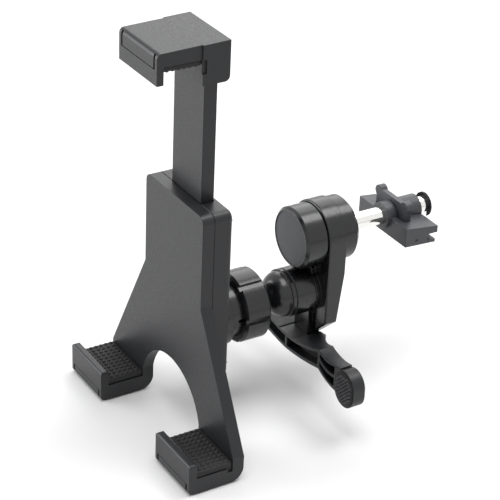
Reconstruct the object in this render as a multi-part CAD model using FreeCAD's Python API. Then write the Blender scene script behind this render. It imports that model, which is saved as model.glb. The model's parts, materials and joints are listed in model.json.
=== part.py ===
"""Vent-clip holder: a cradle with a sliding jaw on a ball joint, a swinging arm and a clip for a vent blade.

Millimetres. The reference point is the middle of the clip's slot. +Y points into the vent, +Z is up and the
holder is symmetric about X = 0.
"""
import FreeCAD
import Part
import math
import os

# Fits between pieces
RUN_FIT = 0.05
MOVE_GAP = 0.3
SEAT_FIT = 0.02

# Clip block and its slot for a vent blade
CLIP_WIDTH = 30.6
SLOT_HEIGHT = 2.6
SLOT_INSET = 2.0
SLOT_MOUTH = 2.5
CLIP_NOSE = 9.9
LOWER_LIP = 1.3
LOWER_LIP_STEP = 0.8
CLIP_BELLY_RISE = 0.75
SLOT_ROOF = 0.25
CLIP_TOP_FRONT = 0.75
CLIP_TOP_BACK = 0.95
BOSS_WALL = 1.65
SLEEVE_PROUD = 1.2
EJECTOR_MARK_R = 0.6
EJECTOR_MARK_DEPTH = 0.3

# Rod and its stop ring
ROD_R = 3.3
ROD_TAIL = 5.6
ROD_SHOWING = 16.8
ROD_CHAMFER = 0.4
RING_T = 0.8
RING_WALL = 1.4
RING_BITE = 0.6
RING_SETBACK = 0.8

# Lock plate across the rod
LATCH_SETBACK = 3.0
LATCH_T = 2.7
LATCH_TRAVEL = 1.0
LATCH_HALF = 9.2
LATCH_LIMB = 1.15
LATCH_SIDE = 1.4
LATCH_BITE = 0.15
LATCH_BAR = 2.1
LOBE_R = 2.2
LOBE_X = 8.1
WING_DROP = 2.15
LATCH_BEVEL = 0.7
LATCH_SPRING_X = 7.3
LATCH_SPRING_R = 0.95
LATCH_SPRING_WIRE = 0.3
LATCH_SPRING_TURNS = 3
LATCH_SPRING_SINK = 3.75

# Swivel: rear collar, pivot tube, front cap and its disc
COLLAR_R = 12.0
COLLAR_L = 6.4
COLLAR_ROUND = 1.6
PIVOT_R = 6.95
CAP_R = 11.75
CAP_L = 8.7
CAP_CHAMFER = 1.0
CAP_WALL = 1.7
CAP_FLOOR = 3.2
DISC_R = 10.3
DISC_T = 1.0
DISC_INSET = 0.2
PIVOT_SCREW_R = 2.0
PIVOT_SCREW_BITE = 5.0
PIVOT_HEAD_R = 3.7
PIVOT_HEAD_T = 2.4

# Arm
ARM_R = 12.6
ARM_T = 7.3
ARM_DROP = 22.35
ARM_TAIL = 18.4
ARM_TAPER = 3.3
ARM_CUT_HEIGHT = 8.2
ARM_TIP_HALF = 4.0
ARM_ROUND = 0.7
RIB_HALF = 4.5
RIB_PROUD = 2.0

# Ball stud
DOME_R = 9.2
DOME_REACH = 9.8
BALL_R = 8.0
BALL_REACH = 17.0
NECK_R = 3.5
STUD_GROOVE_W = 0.5
STUD_GROOVE_DEPTH = 0.35
STUD_GROOVE_BACK = 1.4
STUD_SCREW_R = 1.6
STUD_SCREW_BITE = 8.0
STUD_HEAD_R = 3.6
STUD_HEAD_T = 2.2
STUD_SEAT_T = 3.0

# Ball socket and its clamping nut
SOCKET_WALL = 2.25
SOCKET_GRIP = 2.5
SOCKET_BASE_R = 12.4
SOCKET_BASE_L = 6.9
SOCKET_REACH = 17.0
SOCKET_BORE_R = 6.0
SOCKET_FLOOR = 3.0
SOCKET_SLITS = 4
SLIT_W = 1.2
SLIT_L = 9.6
LUG_R = 2.6
LUG_OUT = 13.4
LUG_ANGLE = 55.0
LUG_T = 4.0
NUT_R = 13.2
NUT_L = 10.4
NUT_BEHIND = 5.2
NUT_WALL = 2.4
NUT_LOBES = 6
NUT_GROOVE_W = 2.2
NUT_GROOVE_DEPTH = 0.9
NUT_CHAMFER = 0.8

# Small screws
SCREW_R = 1.1
SCREW_HEAD_R = 1.9
SCREW_HEAD_T = 1.6
SCREW_BITE = 3.0

# Cradle: front frame with legs and feet, and the rear housing
HOUSING_HALF = 20.0
HOUSING_ABOVE = 51.6
HOUSING_BELOW = 14.4
HOUSING_DEPTH = 7.5
HOUSING_BACK_WALL = 2.0
HOUSING_TOP_WALL = 2.4
HOUSING_CORNER = 3.0
HOUSING_ROUND = 1.6
SEAM_GROOVE = 0.4
COVER_SCREW_INSET = 3.1
COVER_SCREW_Z = 4.4
FRAME_T = 4.5
FLARE_DROP = 35.3
LEG_DROP = 47.2
ARCH_RISE = 16.5
FOOT_INNER = 21.0
FOOT_OUTER = 45.0
FOOT_REACH = 17.4
FOOT_H = 9.5
LIP_T = 3.2
LIP_H = 12.0
FOOT_HEEL_R = 5.0
FOOT_TOE_R = 1.5
LIP_ROUND = 0.9
FOOT_PAD_T = 3.0
FOOT_PAD_SUNK = 0.5
FOOT_PAD_SIDE = 0.4
HEEL_NOTCH_W = 2.0
HEEL_NOTCH_H = 1.5
HEEL_NOTCH_DEPTH = 0.8
WINDOW_H = 4.0
WINDOW_MARGIN = 1.5
WINDOW_SLIT = 0.9
WINDOW_LINE = 0.35
WINDOW_DEPTH = 0.8

# Upper jaw and its slide
GRIP_OPENING = 135.0
JAW_HALF = 13.0
JAW_BLOCK_HALF = 13.6
JAW_LIP_FRONT = 14.7
JAW_LIP_T = 2.5
JAW_LIP_DROP = 3.75
JAW_HOOD_T = 5.5
JAW_TOP_FALL = 0.7
JAW_PAD_T = 2.5
JAW_PAD_SIDE = 0.4
JAW_BLOCK_BACK = 0.4
JAW_BLOCK_FRONT = 2.5
JAW_BLOCK_DROP = 6.5
JAW_BLOCK_ROUND = 2.0
JAW_EDGE_R = 1.8
JAW_NOTCH_W = 1.5
JAW_NOTCH_H = 5.0
JAW_NOTCH_DEPTH = 0.7
BAR_HALF = 10.0
BAR_ENGAGED = 18.0
BAR_IN_JAW = 10.0
BAR_FOOT_HALF = 14.8
BAR_FOOT_T = 2.5
BAR_PLAY = 0.2
JAW_TRAVEL_DOWN = 38.0
JAW_SCREW_X = 5.0
JAW_SPRING_WIRE = 0.4
JAW_SPRING_TURNS = 6

# Support foot under the arm and its pads
HUB_BEHIND = 3.5
FOOT_FRONT = 8.4
ELBOW_X = 22.0
WING_END_X = 36.0
ELBOW_DEPTH = 6.0
WING_DEPTH = 5.0
HUB_HALF = 9.0
HUB_H = 6.3
VALLEY_SAG = 1.2
ELBOW_RISE = 5.0
ELBOW_H = 8.0
WING_SAG = 1.1
WING_END_H = 11.0
RIM_T = 1.2
POCKET_DEPTH = 4.2
WING_POCKET_DEPTH = 3.2
PAD_X = 39.0
PAD_HALF_W = 6.0
PAD_H = 14.5
PAD_RIM = 1.2
PAD_SINK = 0.6
PAD_PROUD = 0.3
FOOT_SCREW_R = 1.3
FOOT_HEAD_R = 2.6
FOOT_HEAD_T = 1.8
FOOT_SCREW_BITE = 7.0

# Places worked out from the sizes above
V = FreeCAD.Vector
X_AXIS = V(1, 0, 0)
Y_AXIS = V(0, 1, 0)
Z_AXIS = V(0, 0, 1)
FULL_TURN = 360.0

bore_r = ROD_R + RUN_FIT
rod_z = SLOT_HEIGHT / 2 + SLOT_ROOF + bore_r
boss_r = bore_r + BOSS_WALL
clip_half = CLIP_WIDTH / 2
clip_front = -SLOT_INSET - CLIP_NOSE
sleeve_front = clip_front - SLEEVE_PROUD
latch_front = clip_front + LATCH_SETBACK + MOVE_GAP
latch_back = latch_front + LATCH_T
rod_end = SLOT_MOUTH + ROD_TAIL

collar_back = sleeve_front - ROD_SHOWING
collar_front = collar_back - COLLAR_L
arm_back = collar_front - MOVE_GAP
arm_front = arm_back - ARM_T
cap_back = arm_front - MOVE_GAP
cap_front = cap_back - CAP_L
disc_back = cap_front + DISC_INSET + DISC_T
cap_floor_back = disc_back + CAP_FLOOR

ball_z = rod_z - ARM_DROP
arm_bottom = ball_z - ARM_TAIL
rib_front = arm_front - RIB_PROUD
stud_back = rib_front - MOVE_GAP / 2
dome_y = stud_back - DOME_REACH
ball_y = dome_y - BALL_REACH
stud_seat = arm_front + STUD_SEAT_T

socket_r = BALL_R + RUN_FIT + SOCKET_WALL
socket_end = ball_y + SOCKET_GRIP
housing_back = ball_y - SOCKET_REACH
base_end = housing_back + SOCKET_BASE_L
nut_back = ball_y + NUT_BEHIND
nut_front = nut_back - NUT_L
lug_x = LUG_OUT * math.cos(math.radians(LUG_ANGLE))
lug_z = ball_z - LUG_OUT * math.sin(math.radians(LUG_ANGLE))

housing_front = housing_back - HOUSING_DEPTH
housing_top = ball_z + HOUSING_ABOVE
housing_bottom = ball_z - HOUSING_BELOW
cavity_back = housing_back - HOUSING_BACK_WALL
cavity_top = housing_top - HOUSING_TOP_WALL
frame_front = housing_front - FRAME_T
flare_z = housing_top - FLARE_DROP
heel_z = flare_z - LEG_DROP
foot_bottom = heel_z - FOOT_H
foot_front = frame_front - FOOT_REACH
lip_inner = foot_front + LIP_T
lip_top = foot_bottom + LIP_H
foot_pad_top = heel_z - FOOT_PAD_SUNK
foot_floor = foot_pad_top - FOOT_PAD_T

bar_front = housing_front + MOVE_GAP
bar_back = cavity_back - BAR_PLAY
bar_end = housing_top - BAR_ENGAGED
bar_foot_top = bar_end + BAR_FOOT_T
cavity_half = BAR_FOOT_HALF + MOVE_GAP
cavity_floor = bar_end - JAW_TRAVEL_DOWN - MOVE_GAP
jaw_spring_x = (BAR_HALF + cavity_half) / 2
jaw_spring_r = (cavity_half - BAR_HALF) / 2 - JAW_SPRING_WIRE - MOVE_GAP / 2

jaw_pad_bottom = foot_pad_top + GRIP_OPENING
hood_under = jaw_pad_bottom + JAW_PAD_T
jaw_top = hood_under + JAW_HOOD_T
jaw_front = frame_front - JAW_LIP_FRONT
jaw_lip_inner = jaw_front + JAW_LIP_T
jaw_lip_bottom = jaw_pad_bottom - JAW_LIP_DROP
block_front = housing_front - JAW_BLOCK_FRONT
block_back = housing_back + JAW_BLOCK_BACK
block_bottom = jaw_pad_bottom - JAW_BLOCK_DROP
bar_top = block_bottom + BAR_IN_JAW
jaw_screw_z = block_bottom + BAR_IN_JAW / 2

hub_back = arm_front + HUB_BEHIND
support_front = arm_front - FOOT_FRONT
seat_z = arm_bottom
hub_bottom = seat_z - HUB_H
elbow_z = seat_z + ELBOW_RISE
foot_screw_y = arm_front + (ARM_T - ARM_TAPER) / 2
pad_z = elbow_z - PAD_H / 2


# Shape helpers
def box(x0, x1, y0, y1, z0, z1):
    return Part.makeBox(x1 - x0, y1 - y0, z1 - z0, V(x0, y0, z0))


def bar_y(radius, y0, y1, x=0.0, z=0.0):
    return Part.makeCylinder(radius, y1 - y0, V(x, y0, z), Y_AXIS)


def bar_z(radius, z0, z1, x=0.0, y=0.0):
    return Part.makeCylinder(radius, z1 - z0, V(x, y, z0), Z_AXIS)


def prism_x(points, x0, x1):
    corners = [V(x0, y, z) for y, z in points]
    return Part.Face(Part.makePolygon(corners + corners[:1])).extrude(V(x1 - x0, 0, 0))


def prism_y(points, y0, y1):
    corners = [V(x, y0, z) for x, z in points]
    return Part.Face(Part.makePolygon(corners + corners[:1])).extrude(V(0, y1 - y0, 0))


def turned(profile, axis_z):
    """Turn a profile of (radius, y) corners about the line X = 0, Z = axis_z."""
    corners = [V(radius, y, axis_z) for radius, y in profile]
    face = Part.Face(Part.makePolygon(corners + corners[:1]))
    return face.revolve(V(0, 0, axis_z), Y_AXIS, FULL_TURN)


def mirrored(shape):
    return shape.mirror(V(0, 0, 0), X_AXIS)


def both_sides(shape):
    return [shape, mirrored(shape)]


def arc(p0, p1, p2):
    return Part.Arc(p0, p1, p2).toShape()


def joined(first, *others):
    return first.fuse(list(others)).removeSplitter()


def rounded(shape, radius, wanted):
    """Round the edges whose ends both lie where wanted(point) says."""
    edges = [e for e in shape.Edges if all(wanted(v.Point) for v in e.Vertexes)]
    return shape.makeFillet(radius, edges)


def near(value, target):
    tolerance = 1e-4
    return abs(value - target) < tolerance


def along_y(edge):
    ends = edge.Vertexes
    return len(ends) > 1 and near(ends[0].X, ends[1].X) and near(ends[0].Z, ends[1].Z)


def coil(radius, wire, turns, x, y, z0, z1):
    """A helical spring between two levels, its wire kept inside them."""
    low = z0 + wire
    height = z1 - z0 - 2 * wire
    path = Part.makeHelix(height / turns, height, radius)
    section = Part.Wire(Part.makeCircle(wire, V(radius, 0, 0), Y_AXIS))
    spring = Part.Wire(path).makePipeShell([section], True, True)
    spring.translate(V(x, y, low))
    return spring


def screw_y(x, z, seat_y, shank_end, radius, head_r, head_t):
    """A screw along Y with its head behind the seat and its shank ahead of it."""
    shank = bar_y(radius, shank_end, seat_y, x, z)
    return shank.fuse(bar_y(head_r, seat_y, seat_y + head_t, x, z)).removeSplitter()


# Clip block: C-shaped slot at the back, sleeve and boss round the rod
def clip_body():
    slot_top = SLOT_HEIGHT / 2
    lip_end = SLOT_MOUTH - LOWER_LIP_STEP
    lip_bottom = -slot_top - LOWER_LIP
    section = [
        (clip_front, lip_bottom + CLIP_BELLY_RISE),
        (clip_front, rod_z + CLIP_TOP_FRONT),
        (SLOT_MOUTH, rod_z - CLIP_TOP_BACK),
        (SLOT_MOUTH, slot_top),
        (-SLOT_INSET, slot_top),
        (-SLOT_INSET, -slot_top),
        (lip_end, -slot_top),
        (lip_end, lip_bottom),
    ]
    block = prism_x(section, -clip_half, clip_half)
    pocket_front = latch_front - MOVE_GAP
    pocket_back = latch_back + MOVE_GAP
    sleeve = bar_y(boss_r, sleeve_front, pocket_front, 0, rod_z)
    boss = bar_y(boss_r, pocket_back, SLOT_MOUTH, 0, rod_z)
    upper_half = box(-boss_r, boss_r, pocket_back, SLOT_MOUTH, rod_z - CLIP_TOP_BACK, rod_z + boss_r)
    body = joined(block, sleeve, boss.common(upper_half))

    wing_floor = latch_wing_z() - LATCH_TRAVEL - MOVE_GAP
    limb_floor = latch_limb_z() - LATCH_TRAVEL - MOVE_GAP
    wing_half = LATCH_HALF + MOVE_GAP
    limb_half = latch_limb_half() + MOVE_GAP
    above = rod_z + boss_r
    cuts = [
        bar_y(bore_r, sleeve_front, SLOT_MOUTH, 0, rod_z),
        box(-wing_half, wing_half, pocket_front, pocket_back, wing_floor, above),
        box(-limb_half, limb_half, pocket_front, pocket_back, limb_floor, above),
    ]
    spring_y = (latch_front + latch_back) / 2
    well_r = LATCH_SPRING_R + LATCH_SPRING_WIRE + MOVE_GAP / 2
    cuts += both_sides(bar_z(well_r, latch_spring_floor(), wing_floor, LATCH_SPRING_X, spring_y))
    mark_y = (clip_front - SLOT_INSET) / 2
    mark_at = V(clip_half - EJECTOR_MARK_DEPTH, mark_y, 0)
    mark = Part.makeCylinder(EJECTOR_MARK_R, EJECTOR_MARK_DEPTH, mark_at, X_AXIS)
    return body.cut(cuts + both_sides(mark))


# Lock plate: two thumb lobes, a tall hole for the rod and a limb that grips it from below
def latch_wing_z():
    return rod_z - WING_DROP


def latch_limb_z():
    return rod_z - ROD_R - LATCH_BITE - LATCH_LIMB


def latch_limb_half():
    return ROD_R + MOVE_GAP + LATCH_SIDE


def latch_spring_floor():
    return latch_wing_z() - LATCH_SPRING_SINK


def latch_plate():
    hole_half = ROD_R + MOVE_GAP
    hole_top = rod_z + ROD_R + LATCH_TRAVEL + MOVE_GAP
    bar_top_z = hole_top + LATCH_BAR
    lobe_z = bar_top_z - LOBE_R / 2
    limb_half = latch_limb_half()
    outline = [
        (-limb_half, latch_limb_z()),
        (limb_half, latch_limb_z()),
        (limb_half, latch_wing_z()),
        (LATCH_HALF, latch_wing_z()),
        (LATCH_HALF, lobe_z),
        (LOBE_X, bar_top_z),
        (-LOBE_X, bar_top_z),
        (-LATCH_HALF, lobe_z),
        (-LATCH_HALF, latch_wing_z()),
        (-limb_half, latch_wing_z()),
    ]
    plate = prism_y(outline, latch_front, latch_back)
    bevel_y = latch_back - LATCH_BEVEL
    bevel = [(bevel_y, bar_top_z), (latch_back, bar_top_z - LATCH_BEVEL), (latch_back, bar_top_z)]
    plate = plate.cut(prism_x(bevel, -LOBE_X, LOBE_X))
    lobes = both_sides(bar_y(LOBE_R, latch_front, latch_back, LOBE_X, lobe_z))
    plate = joined(plate, *lobes)
    hole_low = rod_z - LATCH_BITE
    hole_high = hole_top - hole_half
    hole = joined(
        bar_y(bore_r, latch_front, latch_back, 0, hole_low),
        bar_y(hole_half, latch_front, latch_back, 0, hole_high),
        box(-hole_half, hole_half, latch_front, latch_back, hole_low, hole_high),
    )
    return plate.cut(hole)


def latch_springs():
    spring_y = (latch_front + latch_back) / 2
    spring = coil(LATCH_SPRING_R, LATCH_SPRING_WIRE, LATCH_SPRING_TURNS, LATCH_SPRING_X, spring_y,
                  latch_spring_floor(), latch_wing_z())
    return Part.makeCompound(both_sides(spring))


# Chrome rod, grooved near its tail for the stop ring
def vent_rod():
    rod_front = cap_back
    groove_back = rod_end - RING_SETBACK
    groove_front = groove_back - RING_T
    groove_r = ROD_R - RING_BITE
    profile = [
        (0, rod_front),
        (ROD_R - ROD_CHAMFER, rod_front),
        (ROD_R, rod_front + ROD_CHAMFER),
        (ROD_R, groove_front),
        (groove_r, groove_front),
        (groove_r, groove_back),
        (ROD_R, groove_back),
        (ROD_R, rod_end - ROD_CHAMFER),
        (ROD_R - ROD_CHAMFER, rod_end),
        (0, rod_end),
    ]
    thread = bar_y(PIVOT_SCREW_R + SEAT_FIT, rod_front, rod_front + PIVOT_SCREW_BITE + MOVE_GAP, 0, rod_z)
    return turned(profile, rod_z).cut(thread)


def rod_stop_ring():
    ring_back = rod_end - RING_SETBACK
    inner = ROD_R - RING_BITE + SEAT_FIT
    outer = ROD_R + RING_WALL
    ring = bar_y(outer, ring_back - RING_T, ring_back, 0, rod_z)
    gap = box(-inner, inner, ring_back - RING_T, ring_back, rod_z - outer, rod_z)
    return ring.cut([bar_y(inner, ring_back - RING_T, ring_back, 0, rod_z), gap])


# Swivel: the rear collar and front cap hold the arm between them on the pivot tube
def rear_collar():
    bore = ROD_R + SEAT_FIT
    profile = [
        (bore, cap_back),
        (PIVOT_R, cap_back),
        (PIVOT_R, collar_front),
        (COLLAR_R, collar_front),
        (COLLAR_R, collar_back - COLLAR_ROUND),
        (COLLAR_R - COLLAR_ROUND, collar_back),
        (bore, collar_back),
    ]
    return turned(profile, rod_z)


def front_cap():
    recess_r = DISC_R + SEAT_FIT
    head_well = PIVOT_HEAD_R + MOVE_GAP
    shank_hole = PIVOT_SCREW_R + RUN_FIT
    well_back = cap_floor_back
    profile = [
        (shank_hole, cap_back),
        (CAP_R, cap_back),
        (CAP_R, cap_front + CAP_CHAMFER),
        (CAP_R - CAP_CHAMFER, cap_front),
        (recess_r, cap_front),
        (recess_r, disc_back),
        (head_well, disc_back),
        (head_well, well_back),
        (shank_hole, well_back),
    ]
    cap = turned(profile, rod_z)
    hollow_front = well_back + CAP_WALL
    hollow = bar_y(CAP_R - CAP_WALL, hollow_front, cap_back, 0, rod_z)
    core = bar_y(PIVOT_R, hollow_front, cap_back, 0, rod_z)
    return cap.cut(hollow.cut(core))


def cap_disc():
    return bar_y(DISC_R, disc_back - DISC_T, disc_back, 0, rod_z)


def pivot_screw():
    seat = cap_floor_back
    head = bar_y(PIVOT_HEAD_R, seat - PIVOT_HEAD_T, seat, 0, rod_z)
    shank = bar_y(PIVOT_SCREW_R, seat, cap_back + PIVOT_SCREW_BITE, 0, rod_z)
    return joined(head, shank)


# Arm: round boss on the pivot, slab with cut corners, front rib and stud pad
def arm_body():
    cut_z = arm_bottom + ARM_CUT_HEIGHT
    outline = [
        (ARM_R, rod_z),
        (ARM_R, cut_z),
        (ARM_TIP_HALF, arm_bottom),
        (-ARM_TIP_HALF, arm_bottom),
        (-ARM_R, cut_z),
        (-ARM_R, rod_z),
    ]
    corners = [V(x, arm_front, z) for x, z in outline]
    crown = arc(corners[-1], V(0, arm_front, rod_z + ARM_R), corners[0])
    sides = Part.makePolygon(corners).Edges
    slab = Part.Face(Part.Wire(sides + [crown])).extrude(V(0, ARM_T, 0))
    slab = rounded(slab, ARM_ROUND, lambda p: near(p.y, arm_front))
    taper_top = rod_z - ARM_R
    wedge = [(arm_back, taper_top), (arm_back, arm_bottom), (arm_back - ARM_TAPER, arm_bottom)]
    slab = slab.cut(prism_x(wedge, -ARM_R, ARM_R))
    rib_top = rod_z - CAP_R - MOVE_GAP
    rib = box(-RIB_HALF, RIB_HALF, rib_front, arm_front + ARM_ROUND, arm_bottom, rib_top)
    pad = bar_y(DOME_R, rib_front, arm_front + ARM_ROUND, 0, ball_z)
    arm = joined(slab, rib, pad)
    cap_room = bar_y(CAP_R + MOVE_GAP, rib_front, arm_front, 0, rod_z)
    cuts = [
        cap_room,
        bar_y(PIVOT_R + RUN_FIT, arm_front, arm_back, 0, rod_z),
        bar_y(STUD_SCREW_R + RUN_FIT, rib_front, arm_back, 0, ball_z),
        bar_y(STUD_HEAD_R + MOVE_GAP, stud_seat, arm_back, 0, ball_z),
        bar_z(FOOT_SCREW_R + SEAT_FIT, arm_bottom, arm_bottom + FOOT_SCREW_BITE, 0, foot_screw_y),
    ]
    return arm.cut(cuts)


# Ball stud: flange with a domed front, neck and ball
def ball_stud():
    flange = bar_y(DOME_R, dome_y, stud_back, 0, ball_z)
    groove_y = dome_y + STUD_GROOVE_BACK
    groove = bar_y(DOME_R, groove_y, groove_y + STUD_GROOVE_W, 0, ball_z)
    groove_core = bar_y(DOME_R - STUD_GROOVE_DEPTH, groove_y, groove_y + STUD_GROOVE_W, 0, ball_z)
    flange = flange.cut(groove.cut(groove_core))
    dome = Part.makeSphere(DOME_R, V(0, dome_y, ball_z))
    neck = bar_y(NECK_R, ball_y, dome_y, 0, ball_z)
    ball = Part.makeSphere(BALL_R, V(0, ball_y, ball_z))
    thread = bar_y(STUD_SCREW_R + SEAT_FIT, stud_back - STUD_SCREW_BITE, stud_back, 0, ball_z)
    return joined(flange, dome, neck, ball).cut(thread)


def stud_screw():
    head_seat = stud_seat + RUN_FIT
    return screw_y(0, ball_z, head_seat, stud_back - STUD_SCREW_BITE + MOVE_GAP,
                   STUD_SCREW_R, STUD_HEAD_R, STUD_HEAD_T)


# Ball socket: slit fingers round the ball, base with two screw lugs
def ball_socket():
    base = bar_y(SOCKET_BASE_R, housing_back, base_end, 0, ball_z)
    tube = bar_y(socket_r, base_end, socket_end, 0, ball_z)
    lugs = both_sides(bar_y(LUG_R, housing_back, housing_back + LUG_T, lug_x, lug_z))
    body = joined(base, tube, *lugs)
    seat = Part.makeSphere(BALL_R + RUN_FIT, V(0, ball_y, ball_z))
    relief = bar_y(SOCKET_BORE_R, housing_back + SOCKET_FLOOR, ball_y, 0, ball_z)
    slit = box(-SLIT_W / 2, SLIT_W / 2, socket_end - SLIT_L, socket_end, ball_z, ball_z + socket_r)
    cuts = [seat, relief]
    for index in range(SOCKET_SLITS):
        turn = FULL_TURN * index / SOCKET_SLITS
        cuts.append(slit.rotated(V(0, 0, ball_z), Y_AXIS, turn))
    cuts += both_sides(bar_y(SCREW_R + SEAT_FIT, housing_back, housing_back + LUG_T, lug_x, lug_z))
    lug_top = housing_back + LUG_T
    head_room = bar_y(SCREW_HEAD_R + SEAT_FIT, lug_top, base_end, lug_x, lug_z)
    return body.cut(cuts + both_sides(head_room))


def socket_screws():
    screw = screw_y(lug_x, lug_z, housing_back + LUG_T, housing_back - SCREW_BITE,
                    SCREW_R, SCREW_HEAD_R, SCREW_HEAD_T)
    return Part.makeCompound(both_sides(screw))


# Collar nut: broad lobes parted by grooves, its rear wall clamping the fingers
def collar_nut():
    bore = socket_r + MOVE_GAP
    wall_front = nut_back - NUT_WALL
    profile = [
        (bore, nut_front),
        (NUT_R - NUT_CHAMFER, nut_front),
        (NUT_R, nut_front + NUT_CHAMFER),
        (NUT_R, nut_back - NUT_CHAMFER),
        (NUT_R - NUT_CHAMFER, nut_back),
        (0, nut_back),
        (0, wall_front),
        (bore, wall_front),
    ]
    nut = turned(profile, ball_z)
    mouth = Part.makeSphere(BALL_R + MOVE_GAP, V(0, ball_y, ball_z))
    mouth_r = math.sqrt((BALL_R + MOVE_GAP) ** 2 - NUT_BEHIND ** 2)
    mouth_y = ball_y + (NUT_BEHIND + NUT_BEHIND - NUT_WALL) / 2
    cuts = [mouth, bar_y(mouth_r, mouth_y, nut_back, 0, ball_z)]
    groove = box(-NUT_GROOVE_W / 2, NUT_GROOVE_W / 2, nut_front, nut_back,
                 ball_z + NUT_R - NUT_GROOVE_DEPTH, ball_z + NUT_R)
    for index in range(NUT_LOBES):
        turn = FULL_TURN * (index + 1 / 2) / NUT_LOBES
        cuts.append(groove.rotated(V(0, 0, ball_z), Y_AXIS, turn))
    return nut.cut(cuts)


# Rear housing: shallow box behind the frame with a way for the slide bar
def rear_housing():
    shell = box(-HOUSING_HALF, HOUSING_HALF, housing_front, housing_back, housing_bottom, housing_top)
    shell = shell.makeFillet(HOUSING_CORNER, [e for e in shell.Edges if along_y(e)])
    shell = rounded(shell, HOUSING_ROUND, lambda p: near(p.y, housing_back))
    shell = shell.makeChamfer(SEAM_GROOVE, [e for e in shell.Edges
                                            if all(near(v.Y, housing_front) for v in e.Vertexes)])
    cavity = box(-cavity_half, cavity_half, housing_front, cavity_back, cavity_floor, cavity_top)
    bar_half = BAR_HALF + MOVE_GAP
    bar_way = box(-bar_half, bar_half, housing_front, cavity_back, cavity_top, housing_top)
    cuts = [cavity, bar_way]
    for x, z in cover_screw_places():
        cuts.append(bar_y(SCREW_R + SEAT_FIT, housing_front, housing_back, x, z))
        cuts.append(bar_y(SCREW_HEAD_R + SEAT_FIT, housing_back - SCREW_HEAD_T, housing_back, x, z))
    cuts += both_sides(bar_y(SCREW_R + SEAT_FIT, housing_back - SCREW_BITE, housing_back, lug_x, lug_z))
    return shell.cut(cuts)


def cover_screw_places():
    across = HOUSING_HALF - COVER_SCREW_INSET
    low = housing_bottom + COVER_SCREW_Z
    high = housing_top - COVER_SCREW_Z
    return [(x, z) for x in (-across, across) for z in (low, high)]


def cover_screws():
    seat = housing_back - SCREW_HEAD_T
    tip = housing_front - SCREW_BITE
    screws = [screw_y(x, z, seat, tip, SCREW_R, SCREW_HEAD_R, SCREW_HEAD_T) for x, z in cover_screw_places()]
    return Part.makeCompound(screws)


# Front frame: plate that flares into two legs, each ending in a lipped foot
def window_groove(x0, x1, front, open_z, inner_z):
    """Slits round an inset bar in a lip's front face, open towards open_z."""
    low, high = sorted((open_z, inner_z))
    back = front + WINDOW_DEPTH
    outer = box(x0, x1, front, back, low, high)
    step = WINDOW_LINE if inner_z > open_z else -WINDOW_LINE
    bar_low, bar_high = sorted((open_z, inner_z - step))
    bar = box(x0 + WINDOW_SLIT, x1 - WINDOW_SLIT, front, back, bar_low, bar_high)
    return outer.cut(bar)


def foot():
    heel = housing_front
    section = [
        (foot_front, foot_bottom),
        (foot_front, lip_top),
        (lip_inner, lip_top),
        (lip_inner, foot_floor),
        (frame_front, foot_floor),
        (frame_front, heel_z),
        (heel, heel_z),
        (heel, foot_bottom),
    ]
    block = prism_x(section, FOOT_INNER, FOOT_OUTER)
    block = rounded(block, FOOT_HEEL_R, lambda p: near(p.y, heel) and near(p.z, foot_bottom))
    block = rounded(block, FOOT_TOE_R, lambda p: near(p.y, foot_front) and near(p.z, foot_bottom))
    block = rounded(block, LIP_ROUND, lambda p: near(p.z, lip_top))
    groove = window_groove(FOOT_INNER + WINDOW_MARGIN, FOOT_OUTER - WINDOW_MARGIN, foot_front,
                           foot_bottom, foot_bottom + WINDOW_H)
    notch = box(FOOT_OUTER - HEEL_NOTCH_DEPTH, FOOT_OUTER, frame_front - HEEL_NOTCH_W, frame_front,
                foot_floor - HEEL_NOTCH_H, foot_floor)
    return block.cut([groove, notch])


def cradle_frame():
    right_side = [
        V(HOUSING_HALF, frame_front, housing_top),
        V(HOUSING_HALF, frame_front, flare_z),
        V(FOOT_OUTER, frame_front, heel_z),
        V(FOOT_OUTER, frame_front, foot_floor),
        V(FOOT_INNER, frame_front, foot_floor),
        V(FOOT_INNER, frame_front, heel_z),
    ]
    left_side = [V(-p.x, p.y, p.z) for p in reversed(right_side)]
    arch = arc(right_side[-1], V(0, frame_front, heel_z + ARCH_RISE), left_side[0])
    edges = Part.makePolygon(right_side).Edges
    edges.append(arch)
    edges += Part.makePolygon(left_side + right_side[:1]).Edges
    plate = Part.Face(Part.Wire(edges)).extrude(V(0, FRAME_T, 0))
    top_corners = [e for e in plate.Edges if along_y(e) and near(e.Vertexes[0].Z, housing_top)]
    plate = plate.makeFillet(HOUSING_CORNER, top_corners)
    frame = joined(plate, *both_sides(foot()))
    holes = [bar_y(SCREW_R + SEAT_FIT, housing_front - SCREW_BITE, housing_front, x, z)
             for x, z in cover_screw_places()]
    return frame.cut(holes)


def foot_pad():
    return box(FOOT_INNER + FOOT_PAD_SIDE, FOOT_OUTER - FOOT_PAD_SIDE, lip_inner + SEAT_FIT,
               frame_front - SEAT_FIT, foot_floor, foot_pad_top)


# Upper jaw: hood with a front lip and a rear block on the slide bar
def jaw_top_z(y):
    return jaw_top - JAW_TOP_FALL * (block_back - y) / (block_back - jaw_front)


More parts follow.
